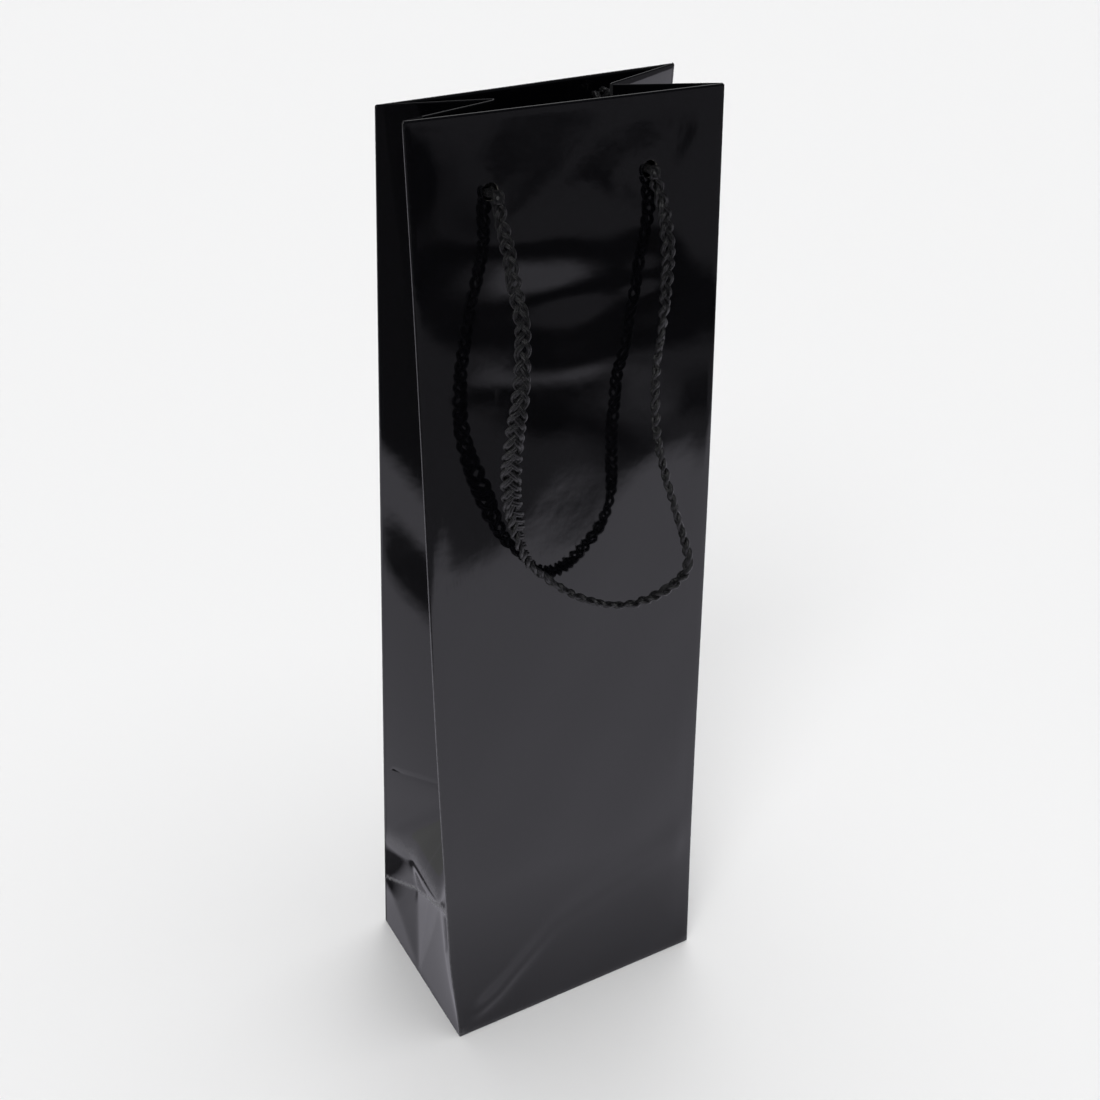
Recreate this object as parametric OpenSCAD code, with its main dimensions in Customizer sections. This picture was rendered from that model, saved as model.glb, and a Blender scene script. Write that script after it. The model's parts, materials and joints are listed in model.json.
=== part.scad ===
// Tall gift bag for one wine bottle: gloss laminated paper, side gussets that fold in at the
// mouth, a card base and two flat braided rope handles that are knotted inside.
// Millimetres. The origin is the centre of the base on the ground: X across the front,
// -Y the front, +Z up.

/* [Bag] */
// Width across the front
bag_w = 120; // [100:1:140]
// Depth of the base, front to back
bag_d = 80; // [78:1:90]
// Length of a panel from the base crease to the top fold
panel_l = 395; // [385:1:405]
// Lean of the front and back panels in towards the mouth, in degrees
panel_lean = 3.8; // [3.2:0.1:4]
// Thickness of the laminated paper
paper_t = 0.4; // [0.3:0.05:0.5]

/* [Mouth] */
// Height of the paper that is turned in at the mouth
turn_in_h = 38; // [34:1:50]
// Height of the card strip under the turned-in paper
stiffener_h = 35; // [32:1:45]
// Thickness of the card strip
stiffener_t = 0.8; // [0.5:0.1:1]

/* [Handles] */
// Distance between the two rope holes of a panel
hole_pitch = 61; // [56:1:64]
// Distance of the rope holes from the top fold
hole_drop = 26; // [22:1:28]
// Diameter of a rope hole
hole_d = 6.5; // [6:0.1:7]
// Width of the flat braid
rope_w = 8; // [6:0.5:9]
// Thickness of the flat braid
rope_t = 3; // [2:0.5:3.5]
// Diameter of a knot
knot_d = 8.6; // [7:0.1:8.8]

/* [Base] */
// Thickness of the loose card in the base
board_t = 1.2; // [0.8:0.1:2]
// Reach of a side bottom flap
side_flap_l = 42; // [30:1:50]
// Overlap of the front bottom flap on the back one
flap_overlap = 18; // [10:1:25]

/* [Hidden] */
$fn = 48;

black_gloss = [0.06, 0.06, 0.07];
black_inside = [0.16, 0.16, 0.17];
board_grey = [0.45, 0.44, 0.42];
rope_black = [0.10, 0.10, 0.10];

half_d = bag_d / 2;
crease_gap = 0.6;      // free edge beside a crease at the base
wing_gap = 1.3;        // free edge beside the upright crease of a wing
slit = 1.2;            // each side of the slanting crease between web and wing
tip_cut = 2.5;         // taken off a wing's tip, where the two wings meet
turn_in_gap = 7;       // from the upright crease to a turn-in or a stiffener
hole_z = panel_l - hole_drop;
panel_top_t = 2 * paper_t + stiffener_t;

// The gusset is a rectangle, bag_d wide, creased from its two bottom corners to the middle of
// its top edge. When the panels lean in, the web between those creases leans in by web_lean,
// and the wing beside each panel turns in from square by wing_turn.
web_lean = acos((1 - bag_d * sin(panel_lean) / (2 * panel_l)) / cos(panel_lean));
wing_turn = atan2(panel_l * sin(web_lean),
                  half_d * cos(panel_lean) - panel_l * cos(web_lean) * sin(panel_lean));

// A handle turns about the line through its two rope ends, just outside the panel.
pivot_out = 4.5;
pivot_y = -half_d + hole_z * sin(panel_lean) - pivot_out * cos(panel_lean);
pivot_z = hole_z * cos(panel_lean) + pivot_out * sin(panel_lean);
elbow_r = 2.6;
stub_r = 2.7;

// Route of the front handle's rope, from the left hole to the right one: X, then Y and Z from
// the line that the handle turns about.
rope_route = [
    [-30.5, 0, -3], [-30.5, -2, -8], [-30, -6, -18], [-30, -11, -29], [-30, -16, -40],
    [-32, -20, -52], [-34, -22, -65], [-36, -22, -78], [-36, -20, -91], [-35, -18, -102],
    [-32, -16, -114], [-29, -14, -126], [-24, -12, -137], [-17, -10, -146], [-9, -14, -153],
    [0, -21, -157], [9, -28, -157], [18, -32, -154], [26, -35, -149], [31, -36, -142],
    [31, -33, -132], [29, -28, -120], [27, -23, -107], [26, -18, -94], [26, -15, -81],
    [28, -12, -67], [30, -11, -53], [32, -9, -39], [33, -7, -26], [33, -4, -15],
    [31.5, -1, -7], [30.5, 0, -3]
];
// The way that the braid's flat side runs across the rope, at each point of the route.
rope_across = [
    [1, 0, 0], [1, 0, 0], [1, 0, 0], [1, 0, 0], [1, 0, 0],
    [1, 0, 0], [1, 0, 0], [1, 0, 0], [1, 0, 0], [1, 0, 0],
    [1, 0.5, 0], [1, 1, 0], [1, 2, 0], [0, 2, -1], [0, 2, -1],
    [0, 2, -1], [0, 2, -1], [0, 2, -1], [0, 2, -1], [0, 2, -1],
    [1, 3, 0], [1, 3, 0], [1, 3, 0], [1, 3, 0], [1, 3, 0],
    [1, 2, 0], [1, 1, 0], [1, 0, 0], [1, 0, 0], [1, 0, 0],
    [1, 0, 0], [1, 0, 0]
];
rope_sides = 10;

// ---- places ----

// A frame on the front panel: X across, Y into the bag from the outer face, Z up the panel.
module on_front() {
    translate([0, -half_d, 0]) rotate([-panel_lean, 0, 0]) children();
}

module on_back() {
    rotate([0, 0, 180]) on_front() children();
}

// A frame on the wing at the front panel's left edge: X out from the upright crease, Y to the
// wing's outer face, Z up the crease.
module on_left_front_wing() {
    on_front() translate([-bag_w / 2, 0, 0]) rotate([0, 0, 90 - wing_turn]) children();
}

// The same place on the four corners of the bag.
module at_corner(right = false, back = false) {
    mirror([right ? 1 : 0, 0, 0]) mirror([0, back ? 1 : 0, 0]) children();
}

// A sheet in the XZ plane of a frame, with its thickness from y to y + t.
module upright_sheet(outline, y, t) {
    translate([0, y + t, 0]) rotate([90, 0, 0]) linear_extrude(t) polygon(outline);
}

function rectangle(x0, x1, z0, z1) = [[x0, z0], [x1, z0], [x1, z1], [x0, z1]];

// ---- panels ----

module rope_holes() {
    for (x = [-1, 1] * hole_pitch / 2)
        translate([x, -1, hole_z]) rotate([-90, 0, 0]) cylinder(d = hole_d, h = panel_top_t + 2);
}

module panel() {
    color(black_gloss) difference() {
        upright_sheet(rectangle(-bag_w / 2, bag_w / 2, paper_t, panel_l), 0, paper_t);
        rope_holes();
    }
}

module panel_turn_in() {
    half_w = bag_w / 2 - turn_in_gap;
    color(black_gloss) difference() {
        union() {
            upright_sheet(rectangle(-half_w, half_w, panel_l - turn_in_h, panel_l),
                          panel_top_t - paper_t, paper_t);
            upright_sheet(rectangle(-half_w, half_w, panel_l - paper_t, panel_l),
                          paper_t, stiffener_t);
        }
        rope_holes();
    }
}

module stiffener() {
    half_w = bag_w / 2 - turn_in_gap;
    color(board_grey) difference() {
        upright_sheet(rectangle(-half_w, half_w, panel_l - paper_t - stiffener_h, panel_l - paper_t),
                      paper_t, stiffener_t);
        rope_holes();
    }
}

// The strip that closes the sheet into a tube, inside the back panel's right edge.
module glue_strip() {
    color(black_inside)
        upright_sheet(rectangle(3 - bag_w / 2, 18 - bag_w / 2, 10, panel_l - turn_in_h - 2),
                      paper_t, paper_t);
}

// ---- gussets ----

module gusset_web() {
    apex_z = panel_l - (slit + 1) * panel_l / half_d;
    foot = half_d - slit - crease_gap;
    color(black_gloss)
        translate([-bag_w / 2, 0, 0]) rotate([0, web_lean, 0])
            rotate([0, 0, -90])
                upright_sheet([[-foot, paper_t], [foot, paper_t], [1, apex_z], [-1, apex_z]],
                              0, paper_t);
}

module wing(right, back) {
    slope = half_d / panel_l;
    tip = half_d - tip_cut;
    color(black_gloss) at_corner(right, back) on_left_front_wing()
        upright_sheet([
            [wing_gap, (wing_gap + slit) / slope], [wing_gap, panel_l],
            [tip, panel_l], [tip, (tip + slit) / slope]
        ], 0, paper_t);
}

module wing_turn_in(right, back) {
    slope = half_d / panel_l;
    tip = half_d - tip_cut - slit;
    low = panel_l - turn_in_h;
    color(black_gloss) at_corner(right, back) on_left_front_wing()
        upright_sheet([
            [turn_in_gap, low], [turn_in_gap, panel_l], [tip, panel_l],
            [tip, (tip + slit) / slope], [low * slope - slit, low]
        ], -paper_t, paper_t);
}

// ---- base ----

module flat_sheet(outline, z, t) {
    translate([0, 0, z]) linear_extrude(t) polygon(outline);
}

base_x = bag_w / 2 - paper_t - crease_gap;
base_y = half_d - paper_t - crease_gap;
flap_edge = 10;        // from the back crease to the front flap's free edge

// The outermost flap, which reaches from the front crease nearly to the back one.
module front_flap() {
    color(black_gloss)
        flat_sheet([[-base_x, -base_y], [base_x, -base_y], [base_x, base_y - flap_edge - 4],
                    [base_x - 6, base_y - flap_edge], [6 - base_x, base_y - flap_edge],
                    [-base_x, base_y - flap_edge - 4]], 0, paper_t);
}

// The back flap lies on the ground beside the front flap's edge and steps up over it.
module back_flap() {
    edge = base_y - flap_edge;
    color(black_gloss) {
        flat_sheet([[-base_x, edge], [base_x, edge], [base_x, base_y], [-base_x, base_y]],
                   0, 2 * paper_t);
        flat_sheet([[6 - base_x, edge - flap_overlap], [base_x - 6, edge - flap_overlap],
                    [base_x, edge - flap_overlap + 4], [base_x, edge], [-base_x, edge],
                    [-base_x, edge - flap_overlap + 4]], paper_t, paper_t);
    }
}

module side_flap(right) {
    taper = 14;
    color(black_gloss) mirror([right ? 1 : 0, 0, 0])
        flat_sheet([[-base_x, -base_y], [side_flap_l - base_x, taper - base_y],
                    [side_flap_l - base_x, base_y - taper], [-base_x, base_y]],
                   2 * paper_t, paper_t);
}

module base_card() {
    x = base_x - 1;
    y = base_y - 1;
    color(board_grey)
        flat_sheet([[2 - x, -y], [x - 2, -y], [x, 2 - y], [x, y - 2], [x - 2, y], [2 - x, y],
                    [-x, y - 2], [-x, 2 - y]], 3 * paper_t, board_t);
}

// ---- handles ----

function unit(v) = v / norm(v);
function ahead(i) = unit(rope_route[min(i + 1, len(rope_route) - 1)] - rope_route[max(i - 1, 0)]);
function across(i) = let (t = ahead(i), a = rope_across[i]) unit(a - (a * t) * t);
// Near its two ends the flat braid is gathered until it is round enough for the hole.
function gathered(i) = min(1, min(i, len(rope_route) - 1 - i) / 3);
function half_wide(i) = (4.6 + (rope_w - 4.6) * gathered(i)) / 2;
function half_thick(i) = (4 + (rope_t - 4) * gathered(i)) / 2;
function ring(i) = [for (k = [0:rope_sides - 1]) let (a = 360 * k / rope_sides)
    rope_route[i] + half_wide(i) * cos(a) * across(i)
        + half_thick(i) * sin(a) * cross(ahead(i), across(i))];

module rope() {
    last = len(rope_route) - 1;
    n = rope_sides;
    points = [for (i = [0:last]) each ring(i)];
    sides = [for (i = [0:last - 1], k = [0:n - 1])
        let (a = i * n + k, b = i * n + (k + 1) % n) each [[a, b + n, b], [a, a + n, b + n]]];
    near_end = [for (k = [0:n - 1]) k];
    far_end = [for (k = [0:n - 1]) last * n + n - 1 - k];
    color(rope_black) translate([0, pivot_y, pivot_z])
        polyhedron(points, concat(sides, [near_end, far_end]));
}

// The rope's end: a knot inside the panel, the stretch through the hole and the turn outside.
// The front handle's loose ends hang down from their knots, and the back handle's stand up.
module knot(side, tail_up = false) {
    inner = panel_top_t;
    tail = knot_d / 2 + (tail_up ? 13 : 8);
    color(rope_black) on_front() translate([side * hole_pitch / 2, 0, hole_z]) {
        translate([0, inner + knot_d / 2, 0]) sphere(d = knot_d);
        translate([0, -pivot_out, 0]) rotate([-90, 0, 0])
            cylinder(r = stub_r, h = pivot_out + inner + knot_d / 2);
        translate([0, -pivot_out, 0]) sphere(r = elbow_r);
        translate([0, inner + knot_d / 2, tail_up ? 0 : -tail]) cylinder(r = 2.2, h = tail);
    }
}

on_front() panel();  // front_panel
on_back() panel();  // back_panel
gusset_web();  // left_gusset_web
mirror([1, 0, 0]) gusset_web();  // right_gusset_web
wing(false, false);  // left_front_gusset_wing
wing(false, true);  // left_back_gusset_wing
wing(true, false);  // right_front_gusset_wing
wing(true, true);  // right_back_gusset_wing
on_front() panel_turn_in();  // front_turn_in
on_back() panel_turn_in();  // back_turn_in
wing_turn_in(false, false);  // left_front_turn_in
wing_turn_in(false, true);  // left_back_turn_in
wing_turn_in(true, false);  // right_front_turn_in
wing_turn_in(true, true);  // right_back_turn_in
on_front() stiffener();  // front_stiffener
on_back() stiffener();  // back_stiffener
on_back() glue_strip();  // glue_flap
front_flap();  // front_bottom_flap
back_flap();  // back_bottom_flap
side_flap(false);  // left_bottom_flap
side_flap(true);  // right_bottom_flap
base_card();  // base_board
rope();  // front_handle_rope
rotate([0, 0, 180]) rope();  // back_handle_rope
knot(-1);  // front_left_knot
knot(1);  // front_right_knot
rotate([0, 0, 180]) knot(1, true);  // back_left_knot
rotate([0, 0, 180]) knot(-1, true);  // back_right_knot
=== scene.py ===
# Looks of the wine gift bag: creased gloss paper, braided rope handles and their knots, around
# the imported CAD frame. Metres; X runs across the front, -Y is the front and +Z is up.
import json
import math

import bpy
import numpy as np
from mathutils import Matrix, Vector


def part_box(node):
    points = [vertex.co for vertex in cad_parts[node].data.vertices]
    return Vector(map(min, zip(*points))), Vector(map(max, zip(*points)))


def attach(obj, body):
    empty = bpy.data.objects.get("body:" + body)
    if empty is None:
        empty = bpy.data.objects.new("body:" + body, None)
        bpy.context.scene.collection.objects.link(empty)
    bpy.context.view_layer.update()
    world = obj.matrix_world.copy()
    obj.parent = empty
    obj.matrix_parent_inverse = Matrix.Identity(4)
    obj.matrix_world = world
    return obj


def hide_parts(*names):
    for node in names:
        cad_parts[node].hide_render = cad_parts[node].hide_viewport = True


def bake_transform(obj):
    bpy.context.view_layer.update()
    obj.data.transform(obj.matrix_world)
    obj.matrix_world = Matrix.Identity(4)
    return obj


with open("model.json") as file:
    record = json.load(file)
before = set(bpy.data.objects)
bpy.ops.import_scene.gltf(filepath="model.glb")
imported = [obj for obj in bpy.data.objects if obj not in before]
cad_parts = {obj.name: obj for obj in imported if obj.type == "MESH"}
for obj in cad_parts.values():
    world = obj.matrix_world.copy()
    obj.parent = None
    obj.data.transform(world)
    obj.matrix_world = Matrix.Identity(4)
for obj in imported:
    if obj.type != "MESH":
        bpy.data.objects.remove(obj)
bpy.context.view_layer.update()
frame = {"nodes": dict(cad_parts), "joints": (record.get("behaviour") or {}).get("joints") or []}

# ---- sizes ----

MM = 0.001
joints = {joint["name"]: joint for joint in frame["joints"]}
fold_axis = joints["left_front_wing_fold"]["axis"]
lean = math.atan2(fold_axis[1], fold_axis[2])
pivot = Vector(joints["front_handle_swing"]["pos_m"])
panel_low, panel_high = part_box("front_panel")
half_w = panel_high.x
half_d = -panel_low.y
panel_l = panel_high.z / math.cos(lean)
knot_low, knot_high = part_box("front_left_knot")
hole_x = abs(knot_low.x + knot_high.x) / 2
hole_v = (pivot.y + half_d) * math.sin(lean) + pivot.z * math.cos(lean)
pivot_out = pivot.z * math.sin(lean) - (pivot.y + half_d) * math.cos(lean)
holes = [(-hole_x, hole_v), (hole_x, hole_v)]

paper = 0.35 * MM
card = 0.8 * MM
rim = 0.8 * MM               # half the thickness of the mouth's rim: paper, card and paper
fold_r = 0.6 * MM            # outer radius of an upright crease
hole_r = 3.1 * MM
turn_in_h = 38 * MM
turn_in_half_w = half_w - 7 * MM
stiffener_h = 35 * MM
inset = {-1: 28.9 * MM, 1: 23.8 * MM}     # how far a panel's left and right edges lean in
split_z = 0.1                # a gusset's foot ends here

rope_w = 8 * MM
rope_t = 3 * MM
rope_end_w = 4.6 * MM
rope_end_t = 4 * MM
braid_pitch = 13.5 * MM      # one strand's way from an edge of the braid back to it
STRANDS = 3
knot_r = 4.3 * MM
HALF_TURN = np.array([-1, -1, 1])         # takes the front handle's points to the back one's


# ---- camera ----

def make_camera():
    """The photograph's view, from the front left and above."""
    azimuth, elevation, roll = (math.radians(a) for a in (-30.082, 31.66, 1.259))
    back = Vector((math.sin(azimuth) * math.cos(elevation),
                   -math.cos(azimuth) * math.cos(elevation), math.sin(elevation)))
    right = (-back).cross(Vector((0, 0, 1))).normalized()
    up = right.cross(-back)
    rolled_right = right * math.cos(roll) + up * math.sin(roll)
    rolled_up = up * math.cos(roll) - right * math.sin(roll)
    data = bpy.data.cameras.new("camera")
    data.lens = 48.9
    data.sensor_width = 36
    data.clip_start = 0.01
    data.clip_end = 60
    camera = bpy.data.objects.new("camera", data)
    turn = Matrix((rolled_right, rolled_up, back)).transposed().to_4x4()
    looked_at = Vector((0.00345, 0, 0.21145))
    camera.matrix_world = Matrix.Translation(looked_at + back * 0.60139) @ turn
    bpy.context.scene.collection.objects.link(camera)
    bpy.context.scene.camera = camera


# ---- materials ----

def node(tree, kind, settings=None, **values):
    """A new node. A value is a number, a colour or a socket to link from."""
    made = tree.nodes.new("ShaderNode" + kind)
    for name, value in (settings or {}).items():
        setattr(made, name, value)
    for name, value in values.items():
        plug = made.inputs[int(name[1:])] if name[1:].isdigit() else made.inputs[name.replace("_", " ")]
        if isinstance(value, bpy.types.NodeSocket):
            tree.links.new(value, plug)
        else:
            plug.default_value = value
    return made


def material(name, **values):
    made = bpy.data.materials.new(name)
    made.use_nodes = True
    shader = made.node_tree.nodes["Principled BSDF"]
    for key, value in values.items():
        shader.inputs[key.replace("_", " ")].default_value = value
    return made, made.node_tree, shader


def place(tree, scale=(1, 1, 1)):
    coords = node(tree, "TexCoord").outputs["Object"]
    return node(tree, "Mapping", Vector=coords, Scale=scale).outputs["Vector"]


def noise(tree, vector, scale, detail=2.0, roughness=0.5):
    return node(tree, "TexNoise", Vector=vector, Scale=scale, Detail=detail,
                Roughness=roughness).outputs["Fac"]


def remap(tree, value, low, high, to_low=0.0, to_high=1.0):
    return node(tree, "MapRange", Value=value, From_Min=low, From_Max=high, To_Min=to_low,
                To_Max=to_high).outputs["Result"]


def mix_colour(tree, share, first, second):
    made = node(tree, "Mix", {"data_type": "RGBA"}, Factor=share)
    for index, value in ((6, first), (7, second)):
        if isinstance(value, bpy.types.NodeSocket):
            tree.links.new(value, made.inputs[index])
        else:
            made.inputs[index].default_value = (*value, 1)
    return made.outputs[2]


def math_node(tree, operation, a, b=0.0):
    return node(tree, "Math", {"operation": operation}, _0=a, _1=b).outputs[0]


def multiply(tree, a, b):
    return math_node(tree, "MULTIPLY", a, b)


def add(tree, a, b):
    return math_node(tree, "ADD", a, b)


def attribute(tree, name):
    return node(tree, "Attribute", {"attribute_name": name}).outputs["Fac"]


def bumps(tree, shader, *layers):
    """Bump layers, each a height socket and its depth in metres, one over the other."""
    normal = None
    for height, depth in layers:
        made = node(tree, "Bump", Height=height, Distance=depth, Strength=1.0)
        if normal:
            tree.links.new(normal, made.inputs["Normal"])
        normal = made.outputs["Normal"]
    tree.links.new(normal, shader.inputs["Normal"])


def black_gloss():
    """Film-laminated black paper: gloss with a faint orange peel, hairline scuffs, and worn creases drawn
    lighter, partly as a painted highlight.
    """
    made, tree, shader = material("black_gloss", IOR=1.5)
    at = place(tree)
    patchy = remap(tree, noise(tree, at, 700, 3), 0.3, 0.65, 0.25, 1.0)
    # Lighter colour where the paper is marked worn: worn film, and partly a painted highlight along creases
    # and along the ridge of the left gusset's foot.
    worn_and_glint = multiply(tree, attribute(tree, "wear_and_glint"), patchy)
    scuffs = node(tree, "TexNoise", Vector=place(tree, (1, 1, 0.06)), Scale=1500, Detail=2).outputs["Fac"]
    scuffs = multiply(tree, remap(tree, scuffs, 0.62, 0.75), remap(tree, noise(tree, at, 28, 2), 0.45, 0.7))
    mottle = remap(tree, noise(tree, at, 60, 3), 0.3, 0.7, 0.035, 0.075)
    tree.links.new(mix_colour(tree, worn_and_glint, (0.0018, 0.0018, 0.0024), (0.13, 0.13, 0.135)),
                   shader.inputs["Base Color"])
    rough = add(tree, mottle, multiply(tree, scuffs, 0.12))
    tree.links.new(add(tree, rough, multiply(tree, worn_and_glint, 0.3)), shader.inputs["Roughness"])
    bumps(tree, shader, (noise(tree, at, 95, 2), 0.03 * MM), (noise(tree, at, 420, 2), 0.0035 * MM),
          (scuffs, 0.003 * MM))
    return made


def black_inside():
    """The unlaminated side of the black paper: matt, with soft fibres."""
    made, tree, shader = material("black_inside", IOR=1.45)
    fibres = noise(tree, place(tree, (1, 1, 0.35)), 1600, 4, 0.65)
    cloud = noise(tree, place(tree), 45, 3)
    tree.links.new(mix_colour(tree, remap(tree, add(tree, fibres, multiply(tree, cloud, 0.5)), 0.5, 0.95),
                              (0.008, 0.008, 0.009), (0.024, 0.024, 0.026)), shader.inputs["Base Color"])
    tree.links.new(remap(tree, fibres, 0.3, 0.7, 0.5, 0.75), shader.inputs["Roughness"])
    bumps(tree, shader, (fibres, 0.03 * MM))
    return made


def grey_card():
    """Recycled grey board with flecks."""
    made, tree, shader = material("grey_card", IOR=1.45)
    at = place(tree)
    fibres = noise(tree, at, 1300, 5, 0.7)
    flecks = node(tree, "TexVoronoi", Vector=at, Scale=420.0).outputs["Distance"]
    base = mix_colour(tree, remap(tree, fibres, 0.3, 0.7), (0.26, 0.245, 0.22), (0.36, 0.345, 0.315))
    tree.links.new(mix_colour(tree, remap(tree, flecks, 0.16, 0.05), base, (0.11, 0.1, 0.09)),
                   shader.inputs["Base Color"])
    tree.links.new(remap(tree, fibres, 0.3, 0.7, 0.7, 0.9), shader.inputs["Roughness"])
    bumps(tree, shader, (fibres, 0.06 * MM))
    return made


def black_braid():
    """Polypropylene yarn: fine filaments along each strand, some of them lifted and dusty."""
    made, tree, shader = material("black_braid", IOR=1.45, Sheen_Weight=0.02, Sheen_Roughness=0.5,
                                  Specular_IOR_Level=0.65)
    uv = node(tree, "TexCoord").outputs["UV"]
    yarn = node(tree, "Mapping", Vector=uv, Scale=(26, 3, 1), Rotation=(0, 0, 0.5)).outputs["Vector"]
    filaments = noise(tree, yarn, 1.0, 3, 0.6)
    lint = remap(tree, noise(tree, place(tree), 900, 4, 0.7), 0.6, 0.8)
    base = mix_colour(tree, remap(tree, filaments, 0.3, 0.7), (0.0006, 0.0006, 0.001), (0.006, 0.006, 0.007))
    tree.links.new(mix_colour(tree, multiply(tree, lint, 0.5), base, (0.07, 0.07, 0.072)),
                   shader.inputs["Base Color"])
    tree.links.new(remap(tree, filaments, 0.3, 0.7, 0.2, 0.42), shader.inputs["Roughness"])
    bumps(tree, shader, (filaments, 0.22 * MM))
    return made


# ---- meshes ----

def build(name, points, faces, materials, face_slots=None, uvs=None, wear_and_glint=None, sharp=60):
    """A piece from points and faces; edges bent by more than sharp degrees stay crisp."""
    mesh = bpy.data.meshes.new(name)
    mesh.from_pydata([tuple(p) for p in points], [], faces)
    for made in materials:
        mesh.materials.append(made)
    if face_slots is not None:
        mesh.polygons.foreach_set("material_index", face_slots)
    if uvs is not None:
        layer = mesh.uv_layers.new(name="UVMap")
        layer.data.foreach_set("uv", np.asarray(uvs, float).ravel())
    if wear_and_glint is not None:
        mesh.attributes.new("wear_and_glint", "FLOAT", "POINT").data.foreach_set("value", np.asarray(wear_and_glint, np.float32))
    mesh.shade_smooth()
    mesh.set_sharp_from_angle(angle=math.radians(sharp))
    mesh.update()
    piece = bpy.data.objects.new(name, mesh)
    bpy.context.scene.collection.objects.link(piece)
    return piece


def grid_domain(us, vs, punched=()):
    """A flat mesh over the grid us by vs, with round holes at grid crossings."""
    cols, rows = len(us), len(vs)
    points = [(u, v) for v in vs for u in us]
    reach = 2      # grid squares cut away on each side of a hole
    blocks = []
    for hu, hv in punched:
        blocks.append((int(np.argmin(abs(us - hu))), int(np.argmin(abs(vs - hv)))))
    faces = []
    for j in range(rows - 1):
        for i in range(cols - 1):
            if any(abs(i + 0.5 - ci) < reach and abs(j + 0.5 - cj) < reach for ci, cj in blocks):
                continue
            k = j * cols + i
            faces.append((k, k + 1, k + cols + 1, k + cols))
    for (ci, cj), (hu, hv) in zip(blocks, punched):
        side = range(-reach, reach)
        steps = [(a, -reach) for a in side] + [(reach, a) for a in side]
        steps += [(-a, reach) for a in side] + [(-reach, -a) for a in side]
        loop = [(cj + b) * cols + ci + a for a, b in steps]
        outer = loop
        for share in (0.4, 0.75, 1.0):
            ring = []
            for k in loop:
                u, v = points[k]
                angle = math.atan2(v - hv, u - hu)
                ru, rv = hu + hole_r * math.cos(angle), hv + hole_r * math.sin(angle)
                points.append((u + (ru - u) * share, v + (rv - v) * share))
                ring.append(len(points) - 1)
            for k in range(len(loop)):
                n = (k + 1) % len(loop)
                faces.append((outer[k], outer[n], ring[n], ring[k]))
            outer = ring
    used = sorted({k for f in faces for k in f})
    place_of = {k: n for n, k in enumerate(used)}
    return np.array([points[k] for k in used]), [tuple(place_of[k] for k in f) for f in faces]


def sheet_piece(name, domain, surface, thickness, materials, wear_and_glint=None, flip=False):
    """A sheet of real thickness over a flat mesh. surface maps (u, v) to points on its outer face."""
    uv, faces = domain
    step = 0.02 * MM
    u, v = uv[:, 0], uv[:, 1]
    outer = surface(u, v)
    along_u = surface(u + step, v) - surface(u - step, v)
    along_v = surface(u, v + step) - surface(u, v - step)
    normal = np.cross(along_u, along_v)
    normal /= np.linalg.norm(normal, axis=1)[:, None]
    if flip:
        normal = -normal
        faces = [tuple(reversed(f)) for f in faces]
    count = len(uv)
    inner = outer - normal * thickness
    solid = list(faces) + [tuple(k + count for k in reversed(f)) for f in faces]
    slots = [0] * len(faces) + [1] * len(faces)
    edges = {}
    for f in faces:
        for a, b in zip(f, f[1:] + f[:1]):
            edges[(a, b)] = (b, a) not in edges
            if (b, a) in edges:
                edges[(b, a)] = False
    for (a, b), free in edges.items():
        if free:
            solid.append((b, a, a + count, b + count))
            slots.append(1)
    worn_and_glint = None if wear_and_glint is None else np.concatenate([wear_and_glint(u, v), np.zeros(count)])
    return build(name, np.concatenate([outer, inner]), solid, materials, slots, wear_and_glint=worn_and_glint)


def spaced(low, high, step):
    return np.linspace(low, high, max(2, int(round((high - low) / step)) + 1))


def smooth(t):
    t = np.clip(t, 0, 1)
    return t * t * (3 - 2 * t)


def bell(distance, width):
    return np.exp(-((distance / width) ** 2))


# ---- the shape of the paper ----

# Soft dents of each panel: X, height, half width, half height and depth.
DENTS = {
    "front": [(-30, 352, 16, 14, -0.5), (31, 355, 15, 12, -0.5), (-6, 330, 26, 10, 0.55),
              (30, 331, 9, 6, 0.25), (5, 300, 40, 9, -0.3), (-40, 235, 22, 30, 0.35),
              (20, 215, 50, 26, -0.35), (-20, 120, 45, 40, 0.4), (35, 95, 30, 40, -0.4),
              (-50, 20, 16, 16, 0.5)],
    "back": [(30, 352, 15, 13, -0.5), (-30, 354, 15, 13, -0.5), (-10, 250, 40, 30, 0.5),
             (25, 160, 38, 45, -0.5), (-30, 70, 34, 36, 0.5)],
}
SPINE = [(-60, 6), (-39.6, 17.5), (-9.2, 43), (58, 65), (60, 66)]      # a soft crease low on the front


def spine_v(x):
    return np.interp(x, [a * MM for a, _ in SPINE], [b * MM for _, b in SPINE])


def pressed(face, x, v):
    """How far a panel is pressed in above its low soft crease, fading out towards the mouth."""
    if face == "back":
        return 0 * x
    amount = 1.7 * MM * (1 - 0.75 * (x + half_w) / (2 * half_w))
    low = np.maximum(spine_v(x), 42 * MM - (x + half_w) * 0.6)
    rise = smooth(v / low)
    return amount * rise * (1 - smooth((v - low) / (panel_l - low)))


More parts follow.
